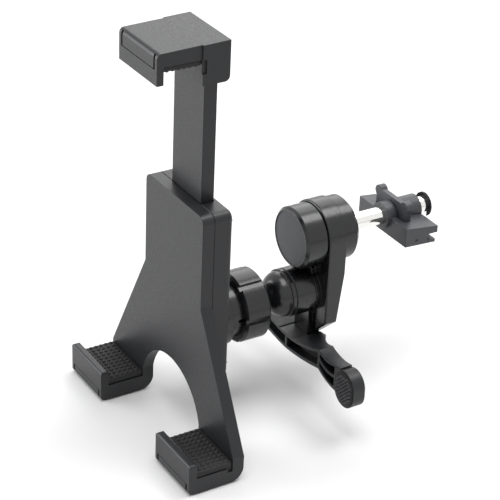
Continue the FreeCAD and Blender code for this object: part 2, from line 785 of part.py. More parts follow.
def upper_jaw():
    hood_section = [
        (jaw_front, jaw_lip_bottom),
        (jaw_front, jaw_top_z(jaw_front)),
        (block_front, jaw_top_z(block_front)),
        (block_front, hood_under),
        (jaw_lip_inner, hood_under),
        (jaw_lip_inner, jaw_lip_bottom),
    ]
    hood = prism_x(hood_section, -JAW_HALF, JAW_HALF)
    hood = rounded(hood, JAW_EDGE_R, lambda p: near(p.y, jaw_front) and p.z > hood_under)
    block_section = [
        (block_front, block_bottom),
        (block_front, jaw_top_z(block_front)),
        (block_back, jaw_top_z(block_back)),
        (block_back, block_bottom),
    ]
    block = prism_x(block_section, -JAW_BLOCK_HALF, JAW_BLOCK_HALF)
    block = rounded(block, JAW_BLOCK_ROUND, lambda p: near(p.y, block_back) and near(p.z, block_bottom))
    groove_low = jaw_top_z(jaw_front) - JAW_EDGE_R - WINDOW_H
    groove = window_groove(-JAW_HALF + WINDOW_MARGIN, JAW_HALF - WINDOW_MARGIN, jaw_front,
                           jaw_top_z(jaw_front), groove_low)
    notch = box(JAW_BLOCK_HALF - JAW_NOTCH_DEPTH, JAW_BLOCK_HALF, block_front, block_front + JAW_NOTCH_W,
                hood_under - JAW_NOTCH_H, hood_under)
    pocket = box(-BAR_HALF - SEAT_FIT, BAR_HALF + SEAT_FIT, bar_front - SEAT_FIT, bar_back + SEAT_FIT,
                 block_bottom, bar_top)
    cuts = [groove, pocket] + both_sides(notch)
    seat = block_back - SCREW_HEAD_T
    for hole in (bar_y(SCREW_R + SEAT_FIT, bar_back, block_back, JAW_SCREW_X, jaw_screw_z),
                 bar_y(SCREW_HEAD_R + SEAT_FIT, seat, block_back, JAW_SCREW_X, jaw_screw_z)):
        cuts += both_sides(hole)
    return joined(hood, block).cut(cuts)


def jaw_pad():
    return box(-JAW_HALF + JAW_PAD_SIDE, JAW_HALF - JAW_PAD_SIDE, jaw_lip_inner + SEAT_FIT,
               block_front - SEAT_FIT, jaw_pad_bottom, hood_under)


def jaw_bar():
    blade = box(-BAR_HALF, BAR_HALF, bar_front, bar_back, bar_end, bar_top)
    foot_piece = box(-BAR_FOOT_HALF, BAR_FOOT_HALF, bar_front, bar_back, bar_end, bar_foot_top)
    holes = both_sides(bar_y(SCREW_R + SEAT_FIT, bar_back - SCREW_BITE, bar_back, JAW_SCREW_X, jaw_screw_z))
    return joined(blade, foot_piece).cut(holes)


def jaw_screws():
    screw = screw_y(JAW_SCREW_X, jaw_screw_z, block_back - SCREW_HEAD_T, bar_back - SCREW_BITE + MOVE_GAP,
                    SCREW_R, SCREW_HEAD_R, SCREW_HEAD_T)
    return Part.makeCompound(both_sides(screw))


def jaw_springs():
    spring_y = (bar_front + bar_back) / 2
    spring = coil(jaw_spring_r, JAW_SPRING_WIRE, JAW_SPRING_TURNS, jaw_spring_x, spring_y,
                  bar_foot_top, cavity_top)
    return Part.makeCompound(both_sides(spring))


# Support foot: boat-shaped web with pockets in front and a pad on each end
def band(x0, x1, top, bottom, y0, y1):
    """A web between two bowed edges, each given by its level at the start, middle and end."""
    middle = (x0 + x1) / 2
    upper = [V(x, y0, z) for x, z in zip((x0, middle, x1), top)]
    lower = [V(x, y0, z) for x, z in zip((x0, middle, x1), bottom)]
    edges = [
        arc(*upper),
        Part.makeLine(upper[2], lower[2]),
        arc(*reversed(lower)),
        Part.makeLine(lower[0], upper[0]),
    ]
    return Part.Face(Part.Wire(edges)).extrude(V(0, y1 - y0, 0))


def hub_levels(wall=0.0):
    top_mid = (seat_z + elbow_z) / 2 - VALLEY_SAG
    low_end = elbow_z - ELBOW_H
    low_mid = (hub_bottom + low_end) / 2 - VALLEY_SAG / 2
    top = [z - wall for z in (seat_z, top_mid, elbow_z)]
    bottom = [z + wall for z in (hub_bottom, low_mid, low_end)]
    return top, bottom


def wing_levels(wall=0.0):
    low_start = elbow_z - ELBOW_H
    low_end = elbow_z - WING_END_H
    low_mid = (low_start + low_end) / 2 - WING_SAG
    top = [z - wall for z in (elbow_z, elbow_z - WING_SAG, elbow_z)]
    bottom = [z + wall for z in (low_start, low_mid, low_end)]
    return top, bottom


def stadium(half_w, height, y0, y1):
    half_run = height / 2 - half_w
    middle = box(PAD_X - half_w, PAD_X + half_w, y0, y1, pad_z - half_run, pad_z + half_run)
    ends = [bar_y(half_w, y0, y1, PAD_X, pad_z + side * half_run) for side in (-1, 1)]
    return joined(middle, *ends)


def plan_of_foot():
    """The foot seen from above: deep hub, waisted to the elbows, slim wings."""
    low = hub_bottom - WING_END_H
    high = elbow_z + ELBOW_H
    elbow_back = support_front + ELBOW_DEPTH
    wing_back = support_front + WING_DEPTH
    waist = V((HUB_HALF + ELBOW_X) / 2, (hub_back + elbow_back) / 2 - VALLEY_SAG, low)
    right = [V(HUB_HALF, hub_back, low), V(ELBOW_X, elbow_back, low), V(WING_END_X, wing_back, low)]
    left = [V(-p.x, p.y, low) for p in right]
    waist_left = V(-waist.x, waist.y, low)
    front_right = V(WING_END_X, support_front, low)
    front_left = V(-WING_END_X, support_front, low)
    edges = [
        arc(right[0], waist, right[1]),
        Part.makeLine(right[1], right[2]),
        Part.makeLine(right[2], front_right),
        Part.makeLine(front_right, front_left),
        Part.makeLine(front_left, left[2]),
        Part.makeLine(left[2], left[1]),
        arc(left[1], waist_left, left[0]),
        Part.makeLine(left[0], right[0]),
    ]
    return Part.Face(Part.Wire(edges)).extrude(V(0, 0, high - low))


def support_foot():
    hub_top, hub_low = hub_levels()
    wing_top, wing_low = wing_levels()
    hub = band(0, ELBOW_X, hub_top, hub_low, support_front, hub_back)
    wing = band(ELBOW_X, WING_END_X, wing_top, wing_low, support_front, hub_back)
    web = joined(hub, wing, mirrored(hub), mirrored(wing)).common(plan_of_foot())
    pad_block = stadium(PAD_HALF_W, PAD_H, support_front, support_front + WING_DEPTH)
    body = joined(web, *both_sides(pad_block))

    half_rim = RIM_T / 2
    hub_pocket = band(half_rim, ELBOW_X - half_rim, *hub_levels(RIM_T),
                      support_front, support_front + POCKET_DEPTH)
    pocket_back = support_front + WING_POCKET_DEPTH
    top, low = wing_levels(RIM_T)
    middle = [(a + b) / 2 for a, b in zip(top, low)]
    rib_top = [z + half_rim for z in middle]
    rib_low = [z - half_rim for z in middle]
    wing_end = PAD_X - PAD_HALF_W - half_rim
    upper_pocket = band(ELBOW_X + half_rim, wing_end, top, rib_top, support_front, pocket_back)
    lower_pocket = band(ELBOW_X + half_rim, wing_end, rib_low, low, support_front, pocket_back)
    recess = stadium(PAD_HALF_W - PAD_RIM, PAD_H - 2 * PAD_RIM, support_front, support_front + PAD_SINK)
    cuts = []
    for pocket in (hub_pocket, upper_pocket, lower_pocket, recess):
        cuts += both_sides(pocket)
    cuts.append(bar_z(FOOT_SCREW_R + RUN_FIT, hub_bottom, seat_z, 0, foot_screw_y))
    head_top = hub_bottom + FOOT_HEAD_T
    cuts.append(bar_z(FOOT_HEAD_R + SEAT_FIT, hub_bottom - VALLEY_SAG, head_top, 0, foot_screw_y))
    arm_room = box(-ARM_R, ARM_R, support_front, hub_back, seat_z, elbow_z)
    return body.cut(cuts).cut(arm_room.common(arm_footprint()))


def arm_footprint():
    """The space that the arm's tip and rib take above the seat."""
    slope = (ARM_R - ARM_TIP_HALF) / ARM_CUT_HEIGHT
    top = seat_z + ELBOW_RISE
    half_top = ARM_TIP_HALF + slope * ELBOW_RISE + MOVE_GAP
    half_low = max(ARM_TIP_HALF, RIB_HALF) + MOVE_GAP
    half_top = max(half_top, half_low)
    outline = [(-half_low, seat_z), (half_low, seat_z), (half_top, top), (-half_top, top)]
    return prism_y(outline, support_front, hub_back)


def foot_screw():
    head = bar_z(FOOT_HEAD_R, hub_bottom, hub_bottom + FOOT_HEAD_T, 0, foot_screw_y)
    tip = arm_bottom + FOOT_SCREW_BITE - MOVE_GAP
    shank = bar_z(FOOT_SCREW_R, hub_bottom + FOOT_HEAD_T, tip, 0, foot_screw_y)
    return joined(head, shank)


def support_pad():
    return stadium(PAD_HALF_W - PAD_RIM - SEAT_FIT, PAD_H - 2 * (PAD_RIM + SEAT_FIT),
                   support_front - PAD_PROUD, support_front + PAD_SINK)


PIECES = {
    "clip_body": clip_body,
    "latch_plate": latch_plate,
    "latch_springs": latch_springs,
    "vent_rod": vent_rod,
    "rod_stop_ring": rod_stop_ring,
    "rear_collar": rear_collar,
    "front_cap": front_cap,
    "cap_disc": cap_disc,
    "pivot_screw": pivot_screw,
    "arm_body": arm_body,
    "support_foot": support_foot,
    "foot_screw": foot_screw,
    "right_support_pad": support_pad,
    "left_support_pad": lambda: mirrored(support_pad()),
    "ball_stud": ball_stud,
    "stud_screw": stud_screw,
    "collar_nut": collar_nut,
    "ball_socket": ball_socket,
    "socket_screws": socket_screws,
    "rear_housing": rear_housing,
    "cover_screws": cover_screws,
    "cradle_frame": cradle_frame,
    "right_foot_pad": foot_pad,
    "left_foot_pad": lambda: mirrored(foot_pad()),
    "upper_jaw": upper_jaw,
    "jaw_pad": jaw_pad,
    "jaw_bar": jaw_bar,
    "jaw_screws": jaw_screws,
    "jaw_springs": jaw_springs,
}

os.makedirs("parts", exist_ok=True)
for name, make in PIECES.items():
    shape = make()
    shape.exportStep("parts/" + name + ".step")
    print(name, len(shape.Solids), "solids", round(shape.Volume, 1), "mm3")
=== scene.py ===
# %% [markdown]
# A car holder that hooks on a vent blade, dressed for the studio.
# The solids come in as a fixed frame in metres. Every new piece is modelled where the frame says; the pads,
# the stud and the screws follow the bodies that carry them, so that they move with each joint.

# %% Load the frame
import json
import math

import bpy
from mathutils import Matrix, Vector


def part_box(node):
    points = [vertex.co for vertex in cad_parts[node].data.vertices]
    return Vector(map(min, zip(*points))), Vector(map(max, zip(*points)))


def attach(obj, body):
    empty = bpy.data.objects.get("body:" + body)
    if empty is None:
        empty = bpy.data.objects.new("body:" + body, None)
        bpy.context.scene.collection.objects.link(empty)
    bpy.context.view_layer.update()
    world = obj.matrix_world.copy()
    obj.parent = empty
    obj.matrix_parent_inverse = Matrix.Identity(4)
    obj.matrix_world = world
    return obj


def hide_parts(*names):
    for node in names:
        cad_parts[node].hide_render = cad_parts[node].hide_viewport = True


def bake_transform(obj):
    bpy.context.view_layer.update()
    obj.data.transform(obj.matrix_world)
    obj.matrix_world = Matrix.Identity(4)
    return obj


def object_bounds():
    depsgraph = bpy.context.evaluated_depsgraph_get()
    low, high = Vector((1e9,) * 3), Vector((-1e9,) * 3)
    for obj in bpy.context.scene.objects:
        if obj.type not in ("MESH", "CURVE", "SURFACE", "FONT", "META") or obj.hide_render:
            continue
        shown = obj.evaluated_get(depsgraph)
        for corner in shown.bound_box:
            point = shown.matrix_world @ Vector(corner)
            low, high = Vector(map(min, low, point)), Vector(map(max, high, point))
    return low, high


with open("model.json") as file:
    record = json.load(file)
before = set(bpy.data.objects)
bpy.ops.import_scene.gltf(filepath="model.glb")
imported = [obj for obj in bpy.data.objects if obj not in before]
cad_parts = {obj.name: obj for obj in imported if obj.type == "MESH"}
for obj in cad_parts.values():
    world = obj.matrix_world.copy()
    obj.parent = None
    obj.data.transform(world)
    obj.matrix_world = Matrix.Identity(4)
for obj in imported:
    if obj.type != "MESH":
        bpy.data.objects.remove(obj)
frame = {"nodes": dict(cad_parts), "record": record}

MM = 0.001
nodes = frame["nodes"]
cad_box = [list(corner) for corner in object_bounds()]
print("solids loaded:", len(nodes))

# %% [markdown]
# Colours are written as sRGB hex values, as a paint chart gives them, and a shader works in linear light.
# One function turns the first into the second, and one adds a node with its settings and its links.

# %% Colour and node helpers
NOISE_LOW = 0.3
NOISE_HIGH = 0.7


def linear(code):
    channels = [int(code[i:i + 2], 16) / 255 for i in (1, 3, 5)]
    lit = [c / 12.92 if c <= 0.04045 else ((c + 0.055) / 1.055) ** 2.4 for c in channels]
    return (*lit, 1.0)


def add(tree, kind, inputs=None, **settings):
    node = tree.nodes.new(kind)
    for name, value in settings.items():
        setattr(node, name, value)
    for name, value in (inputs or {}).items():
        if isinstance(value, bpy.types.NodeSocket):
            tree.links.new(value, node.inputs[name])
        else:
            node.inputs[name].default_value = value
    return node


def per_mm(size_mm):
    """Texture scale on metre coordinates whose features are about size_mm across."""
    return 1 / (size_mm * MM)


def new_material(name):
    material = bpy.data.materials.new(name)
    material.use_nodes = True
    tree = material.node_tree
    shader = tree.nodes["Principled BSDF"]
    place = add(tree, "ShaderNodeTexCoord").outputs["Object"]
    return material, tree, shader, place


def noise(tree, place, size_mm, detail):
    inputs = {"Vector": place, "Scale": per_mm(size_mm), "Detail": detail}
    return add(tree, "ShaderNodeTexNoise", inputs).outputs["Fac"]


def cloudy_colour(tree, shader, clouds, dark, pale):
    colour = add(tree, "ShaderNodeMix", {"Factor": clouds}, data_type="RGBA")
    colour.inputs["A"].default_value = linear(dark)
    colour.inputs["B"].default_value = linear(pale)
    tree.links.new(colour.outputs["Result"], shader.inputs["Base Color"])


def uneven_shine(tree, shader, pattern, low, high):
    """Roughness between low and high, spread over the range that most of a noise lies in."""
    inputs = {"Value": pattern, "From Min": NOISE_LOW, "From Max": NOISE_HIGH, "To Min": low, "To Max": high}
    shine = add(tree, "ShaderNodeMapRange", inputs)
    tree.links.new(shine.outputs["Result"], shader.inputs["Roughness"])


# %% [markdown]
# Moulded ABS takes its skin from a spark-eroded steel mould: a fine even grain that breaks up the shine, with
# slow changes where the melt cooled. Two noises give that: one at grain size for bump and shine, one at
# centimetre size for colour. A Bevel node rounds the look of each mould edge, as a real edge is never sharp.

# %% Moulded ABS in four finishes
EDGE_ROUND_MM = 0.3
EDGE_SAMPLES = 6
MELT_CLOUD_MM = 9
MELT_CLOUD_DETAIL = 4
GRAIN_DETAIL = 3
GRAIN_STRENGTH = 0.5
ABS_IOR = 1.54


def moulded_abs(name, dark, pale, shine_low, shine_high, grain_mm, grain_height_mm, reflection):
    material, tree, shader, place = new_material(name)
    cloudy_colour(tree, shader, noise(tree, place, MELT_CLOUD_MM, MELT_CLOUD_DETAIL), dark, pale)
    grain = noise(tree, place, grain_mm, GRAIN_DETAIL)
    uneven_shine(tree, shader, grain, shine_low, shine_high)
    edge = add(tree, "ShaderNodeBevel", {"Radius": EDGE_ROUND_MM * MM}, samples=EDGE_SAMPLES)
    bump = add(tree, "ShaderNodeBump", {"Height": grain, "Normal": edge.outputs["Normal"],
                                        "Distance": grain_height_mm * MM, "Strength": GRAIN_STRENGTH})
    tree.links.new(bump.outputs["Normal"], shader.inputs["Normal"])
    shader.inputs["IOR"].default_value = ABS_IOR
    shader.inputs["Specular IOR Level"].default_value = reflection
    return material


satin_abs = moulded_abs("satin_black_abs", dark="#16171a", pale="#1c1d20", shine_low=0.34, shine_high=0.5,
                        grain_mm=0.6, grain_height_mm=0.02, reflection=0.4)
gloss_abs = moulded_abs("polished_black_abs", dark="#0e0f11", pale="#131417", shine_low=0.2, shine_high=0.28,
                        grain_mm=1.5, grain_height_mm=0.002, reflection=0.5)
slate_abs = moulded_abs("satin_slate_abs", dark="#3a3b3f", pale="#424347", shine_low=0.36, shine_high=0.5,
                        grain_mm=0.6, grain_height_mm=0.02, reflection=0.45)
grey_abs = moulded_abs("satin_grey_abs", dark="#424347", pale="#494a4e", shine_low=0.42, shine_high=0.55,
                       grain_mm=0.5, grain_height_mm=0.015, reflection=0.35)
print("plastics:", satin_abs.name, gloss_abs.name, slate_abs.name, grey_abs.name)

# %% [markdown]
# The rod is steel with a bright chrome plating, nearly a mirror, with faint rings left by the polishing
# wheel: its noise is drawn out across the rod. The screws and springs are plain zinc-plated steel, duller and
# with a slight mottle, and the stop ring is blackened.

# %% Plated steel
MOTTLE_DETAIL = 3
EVEN = (1.0, 1.0, 1.0)
RINGS_ROUND_Y = (0.15, 1.0, 0.15)


def plated_steel(name, code, shine_low, shine_high, mottle_mm, stretch):
    material, tree, shader, place = new_material(name)
    shader.inputs["Base Color"].default_value = linear(code)
    shader.inputs["Metallic"].default_value = 1.0
    spread = add(tree, "ShaderNodeMapping", {"Vector": place, "Scale": stretch})
    mottle = noise(tree, spread.outputs["Vector"], mottle_mm, MOTTLE_DETAIL)
    uneven_shine(tree, shader, mottle, shine_low, shine_high)
    return material


chrome = plated_steel("chrome_plated_steel", "#efeeea", shine_low=0.05, shine_high=0.12, mottle_mm=0.8,
                      stretch=RINGS_ROUND_Y)
zinc = plated_steel("zinc_plated_steel", "#9a9b9d", shine_low=0.25, shine_high=0.42, mottle_mm=0.7,
                    stretch=EVEN)
black_oxide = plated_steel("black_oxide_steel", "#26272a", shine_low=0.35, shine_high=0.5, mottle_mm=0.6,
                           stretch=EVEN)
print("metals:", chrome.name, zinc.name, black_oxide.name)

# %% [markdown]
# The pads are black thermoplastic rubber, matt and a little dusty, with a fine pebble from the mould. The
# studs of the support pads are painted paler: a painted sheen that stands in for the highlights on their
# faces.

# %% Moulded rubber
DUST_MM = 3
DUST_DETAIL = 5
PEBBLE_MM = 0.5
PEBBLE_HEIGHT_MM = 0.04
PEBBLE_STRENGTH = 0.4
RUBBER_ROUGHNESS = 0.72
RUBBER_IOR = 1.5


def moulded_rubber(name, dark, pale):
    material, tree, shader, place = new_material(name)
    cloudy_colour(tree, shader, noise(tree, place, DUST_MM, DUST_DETAIL), dark, pale)
    pebble = add(tree, "ShaderNodeTexVoronoi", {"Vector": place, "Scale": per_mm(PEBBLE_MM)})
    bump = add(tree, "ShaderNodeBump", {"Height": pebble.outputs["Distance"], "Strength": PEBBLE_STRENGTH,
                                        "Distance": PEBBLE_HEIGHT_MM * MM})
    tree.links.new(bump.outputs["Normal"], shader.inputs["Normal"])
    shader.inputs["Roughness"].default_value = RUBBER_ROUGHNESS
    shader.inputs["IOR"].default_value = RUBBER_IOR
    return material


rubber = moulded_rubber("moulded_black_rubber", "#131314", "#1d1d1e")
# A paler copy of the rubber for the hatch studs, a painted sheen standing in for the highlights on their
# faces.
sheen_painted_rubber = moulded_rubber("black_rubber_with_painted_sheen", "#38383b", "#454548")
print("rubber:", rubber.name, sheen_painted_rubber.name)

# %% Give each solid its finish
FINISH_OF_SLOT = {"black_abs": satin_abs, "gloss_black_abs": gloss_abs, "grey_abs": grey_abs,
                  "chrome": chrome, "screw_steel": zinc, "spring_steel": zinc, "black_rubber": rubber}
OWN_FINISH = {"rod_stop_ring": black_oxide, "rear_collar": gloss_abs, "clip_body": slate_abs,
              "latch_plate": slate_abs}
for piece in frame["record"]["subparts"]:
    mesh = nodes[piece["node"]].data
    mesh.materials.clear()
    mesh.materials.append(OWN_FINISH.get(piece["node"], FINISH_OF_SLOT[piece["material_slot"]]))

# %% [markdown]
# Three steps come back with every piece: nothing may be selected before a new primitive is added, a moved
# piece takes its place into its mesh, and pieces that belong together become one.

# %% Modelling helpers
def deselect():
    bpy.ops.object.select_all(action="DESELECT")


def settle():
    bpy.ops.object.transform_apply(location=True, rotation=True, scale=True)


def join_into(whole, others):
    deselect()
    for other in others:
        other.select_set(True)
    whole.select_set(True)
    bpy.context.view_layer.objects.active = whole
    bpy.ops.object.join()


ALONG_Y = (math.pi / 2, 0, 0)
ALONG_Y_BACK = (-math.pi / 2, 0, 0)
ROUND_EDGES = math.radians(50)
TURNED_EDGES = math.radians(35)
CRISP_EDGES = math.radians(30)

# %% [markdown]
# The pads in the feet and under the jaw grip with rows of small domes. Each pad is one block with softened
# edges, and one dome is modelled, then repeated in two directions by arrays and joined to the block.
# The block is lowered by the domes' height, so that the pad still ends where the solid does.

# %% Domed grip pads
DOME_R_MM = 0.75
DOME_H_MM = 0.55
DOME_PITCH_MM = 2.1
DOME_SEGMENTS = 12
DOME_RINGS = 6
PAD_EDGE_MM = 0.5
PAD_EDGE_SEGMENTS = 3


def soft_block(name, low, high, edge_mm):
    deselect()
    bpy.ops.mesh.primitive_cube_add(size=1, location=(low + high) / 2)
    block = bpy.context.object
    block.name = name
    block.scale = high - low
    settle()
    bpy.ops.object.mode_set(mode="EDIT")
    bpy.ops.mesh.select_all(action="SELECT")
    bpy.ops.mesh.bevel(offset=edge_mm * MM, segments=PAD_EDGE_SEGMENTS, affect="EDGES")
    bpy.ops.object.mode_set(mode="OBJECT")
    return block


def domed_pad(node, body, facing):
    """A pad whose domes look up for facing 1 and down for facing -1."""
    low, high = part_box(node)
    if facing > 0:
        face_z = high.z - DOME_H_MM * MM
        block = soft_block(node + "_grip", low, Vector((high.x, high.y, face_z)), PAD_EDGE_MM)
    else:
        face_z = low.z + DOME_H_MM * MM
        block = soft_block(node + "_grip", Vector((low.x, low.y, face_z)), high, PAD_EDGE_MM)
    pitch = DOME_PITCH_MM * MM
    across = int((high.x - low.x - pitch) / pitch)
    deep = int((high.y - low.y - pitch) / pitch)
    start_x = (low.x + high.x - across * pitch) / 2
    start_y = (low.y + high.y - deep * pitch) / 2
    deselect()
    bpy.ops.mesh.primitive_uv_sphere_add(segments=DOME_SEGMENTS, ring_count=DOME_RINGS, radius=DOME_R_MM * MM,
                                         location=(start_x, start_y, face_z))
    dome = bpy.context.object
    dome.scale = (1, 1, DOME_H_MM / DOME_R_MM)
    settle()
    for count, step in ((across + 1, (pitch, 0, 0)), (deep + 1, (0, pitch, 0))):
        rows = dome.modifiers.new("rows", "ARRAY")
        rows.count = count
        rows.use_relative_offset = False
        rows.use_constant_offset = True
        rows.constant_offset_displace = step
        bpy.ops.object.modifier_apply(modifier=rows.name)
    join_into(block, [dome])
    bpy.ops.object.shade_smooth_by_angle(angle=ROUND_EDGES)
    block.data.materials.clear()
    block.data.materials.append(rubber)
    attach(block, body)
    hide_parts(node)
    print(block.name, (across + 1) * (deep + 1), "domes")


domed_pad("right_foot_pad", "cradle", 1)
domed_pad("left_foot_pad", "cradle", 1)
domed_pad("jaw_pad", "jaw", -1)

# %% [markdown]
# The two pads at the ends of the support foot press on the dashboard. Each is a long-round rubber insert with
# a hatched face. A circle is pulled apart into a long-round, extruded and softened. The hatch is made of
# four-sided studs in staggered rows, and only those that fit inside the outline are added.

# %% Hatched support pads
HATCH_STUD_MM = 1.35
HATCH_FOOT_SHARE = 0.6
HATCH_TIP_SHARE = 0.35
HATCH_H_MM = 0.5
HATCH_PITCH_MM = 1.6
HATCH_ROW_SHARE = 0.5
HATCH_STAGGER = 0.5
PAD_SPREAD_MM = 0.9
PAD_SHEET_MM = 0.25
PAD_SOFT_MM = 0.25
PAD_SOFT_SEGMENTS = 2
PAD_SIDES = 40


def long_round(name, middle, radius, half_run, face_y):
    deselect()
    bpy.ops.mesh.primitive_circle_add(vertices=PAD_SIDES, radius=radius, fill_type="NGON",
                                      location=(middle.x, face_y, middle.z), rotation=ALONG_Y)
    pad = bpy.context.object
    pad.name = name
    settle()
    for vertex in pad.data.vertices:
        vertex.co.z += half_run if vertex.co.z > middle.z else -half_run
    bpy.ops.object.mode_set(mode="EDIT")
    bpy.ops.mesh.select_all(action="SELECT")
    bpy.ops.mesh.extrude_region_move(TRANSFORM_OT_translate={"value": (0, PAD_SHEET_MM * MM, 0)})
    bpy.ops.mesh.select_all(action="SELECT")
    bpy.ops.mesh.normals_make_consistent(inside=False)
    bpy.ops.object.mode_set(mode="OBJECT")
    soften = pad.modifiers.new("soften", "BEVEL")
    soften.width = PAD_SOFT_MM * MM
    soften.segments = PAD_SOFT_SEGMENTS
    bpy.ops.object.modifier_apply(modifier=soften.name)
    return pad


def hatch_stud(place):
    deselect()
    bpy.ops.mesh.primitive_cone_add(vertices=4, radius1=HATCH_STUD_MM * MM * HATCH_FOOT_SHARE,
                                    radius2=HATCH_STUD_MM * MM * HATCH_TIP_SHARE, depth=HATCH_H_MM * MM,
                                    location=place, rotation=ALONG_Y)
    stud = bpy.context.object
    # Each stud takes the paler rubber, a painted sheen in place of the highlights on its faces.
    stud.data.materials.append(sheen_painted_rubber)
    return stud


def hatched_pad(node):
    low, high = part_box(node)
    middle = (low + high) / 2
    half_run = (high.z - low.z - high.x + low.x) / 2
    radius = (high.x - low.x) / 2 + PAD_SPREAD_MM * MM
    pad = long_round(node + "_hatched", middle, radius, half_run, low.y)
    pad.data.materials.append(rubber)
    pitch = HATCH_PITCH_MM * MM
    reach = radius - HATCH_STUD_MM * MM
    stud_y = low.y - HATCH_H_MM * MM / 2
    rows = int((radius + half_run) / (pitch * HATCH_ROW_SHARE)) + 1
    columns = int(radius / pitch) + 1
    studs = []
    for row in range(-rows, rows + 1):
        for column in range(-columns, columns + 1):
            x = (column + HATCH_STAGGER * (row % 2)) * pitch
            z = row * pitch * HATCH_ROW_SHARE
            over = max(abs(z) - half_run, 0)
            if math.hypot(x, over) <= reach:
                studs.append(hatch_stud((middle.x + x, stud_y, middle.z + z)))
    join_into(pad, studs)
    bpy.ops.object.shade_smooth_by_angle(angle=CRISP_EDGES)
    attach(pad, "arm")
    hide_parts(node)
    print(pad.name, len(studs), "studs")


hatched_pad("right_support_pad")
hatched_pad("left_support_pad")

# %% [markdown]
# The ball stud is one round piece: a plain base with a fine ring groove, a low dome, a thin neck and the
# ball. It is drawn as a lathe would leave it: a filled circle is extruded ring by ring, and each new ring is
# resized to the next radius of the profile.

# %% Turned ball stud
RING_SIDES = 48
BALL_R_MM = 8.0
NECK_R_MM = 3.3
BASE_DEPTH_MM = 9.8
GROOVE_BACK_MM = 1.9
GROOVE_FRONT_MM = 1.4
GROOVE_DEPTH_MM = 0.35
LOW_DOME_DEPTH_MM = 7.0
LOW_DOME_STEP_MM = 0.5
LOW_DOME_RINGS = 8
LOW_DOME_TURN = math.radians(8)
BALL_RINGS = 12
BALL_TIP = 0.06

stud_low, stud_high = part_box("ball_stud")
stud_z = (stud_low.z + stud_high.z) / 2 / MM
stud_back = stud_high.y / MM
base_r = (stud_high.x - stud_low.x) / 2 / MM
ball_at = stud_low.y / MM + BALL_R_MM
dome_at = stud_back - BASE_DEPTH_MM
dome_r = base_r - LOW_DOME_STEP_MM


def stud_profile():
    """Radius and place along Y of each ring, in mm, from the groove in the base to the tip of the ball."""
    groove_r = base_r - GROOVE_DEPTH_MM
    groove_back = dome_at + GROOVE_BACK_MM
    groove_front = dome_at + GROOVE_FRONT_MM
    rings = [(base_r, groove_back), (groove_r, groove_back), (groove_r, groove_front), (base_r, groove_front),
             (base_r, dome_at), (dome_r, dome_at)]
    for step in range(1, LOW_DOME_RINGS + 1):
        turn = LOW_DOME_TURN * step
        rings.append((dome_r * math.cos(turn), dome_at - LOW_DOME_DEPTH_MM * math.sin(turn)))
    rings.append((NECK_R_MM, dome_at - LOW_DOME_DEPTH_MM))
    start = math.asin(NECK_R_MM / BALL_R_MM)
    for step in range(BALL_RINGS + 1):
        turn = start + (math.pi - BALL_TIP - start) * step / BALL_RINGS
        rings.append((BALL_R_MM * math.sin(turn), ball_at + BALL_R_MM * math.cos(turn)))
    return rings


deselect()
bpy.ops.mesh.primitive_circle_add(vertices=RING_SIDES, radius=base_r * MM, fill_type="NGON",
                                  location=(0, stud_back * MM, stud_z * MM), rotation=ALONG_Y)
stud = bpy.context.object
stud.name = "ball_stud_turned"
settle()
bpy.ops.object.mode_set(mode="EDIT")
bpy.ops.mesh.select_all(action="SELECT")
last_r, last_y = base_r, stud_back
for ring_r, ring_y in stud_profile():
    bpy.ops.mesh.extrude_region_move(TRANSFORM_OT_translate={"value": (0, (ring_y - last_y) * MM, 0)})
    share = ring_r / last_r
    bpy.ops.transform.resize(value=(share, 1, share), center_override=(0, ring_y * MM, stud_z * MM))
    last_r, last_y = ring_r, ring_y
bpy.ops.mesh.select_all(action="SELECT")
bpy.ops.mesh.normals_make_consistent(inside=False)
bpy.ops.object.mode_set(mode="OBJECT")
bpy.ops.object.shade_smooth_by_angle(angle=TURNED_EDGES)
stud.data.materials.append(gloss_abs)
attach(stud, "stud")
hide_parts("ball_stud")
print(stud.name, len(stud.data.polygons), "faces")

# %% [markdown]
# The back of the housing and of the jaw are closed with small screws that have a cross recess. One screw is
# made from a shank: its end face is drawn out into a head with a softened rim, and a cross is cut into it.
# The others are copies moved to their holes.

# %% Cross-recess screws
HEAD_R_MM = 1.9
HEAD_T_MM = 1.6
SHANK_R_MM = 1.1
RIM_MM = 0.3
CROSS_W_MM = 0.55
CROSS_L_MM = 2.3
CROSS_DEPTH_MM = 0.8
SCREW_SIDES = 32
FACES_BACK = 0.9
TO_MICROMETRE = 6


def cross_screw(name, x, z, tip_y, head_y):
    seat_y = head_y - HEAD_T_MM * MM
    deselect()
    bpy.ops.mesh.primitive_cylinder_add(vertices=SCREW_SIDES, radius=SHANK_R_MM * MM, depth=seat_y - tip_y,
                                        location=(x, (seat_y + tip_y) / 2, z), rotation=ALONG_Y_BACK)
    screw = bpy.context.object
    screw.name = name
    settle()
    for face in screw.data.polygons:
        face.select = face.normal.y > FACES_BACK
    bpy.ops.object.mode_set(mode="EDIT")
    bpy.ops.mesh.select_mode(type="FACE")
    wide = HEAD_R_MM / SHANK_R_MM
    narrow = (HEAD_R_MM - RIM_MM) / HEAD_R_MM
    for forward_mm, share in ((0, wide), (HEAD_T_MM - RIM_MM, 1), (RIM_MM, narrow)):
        bpy.ops.mesh.extrude_region_move(TRANSFORM_OT_translate={"value": (0, forward_mm * MM, 0)})
        bpy.ops.transform.resize(value=(share, 1, share))
    bpy.ops.object.mode_set(mode="OBJECT")
    for long_x, long_z in ((CROSS_L_MM, CROSS_W_MM), (CROSS_W_MM, CROSS_L_MM)):
        deselect()
        bpy.ops.mesh.primitive_cube_add(size=1, location=(x, head_y, z))
        blade = bpy.context.object
        blade.scale = (long_x * MM, 2 * CROSS_DEPTH_MM * MM, long_z * MM)
        settle()
        bpy.context.view_layer.objects.active = screw
        cut = screw.modifiers.new("cross", "BOOLEAN")
        cut.object = blade
        bpy.ops.object.modifier_apply(modifier=cut.name)
        bpy.data.objects.remove(blade)
    return screw


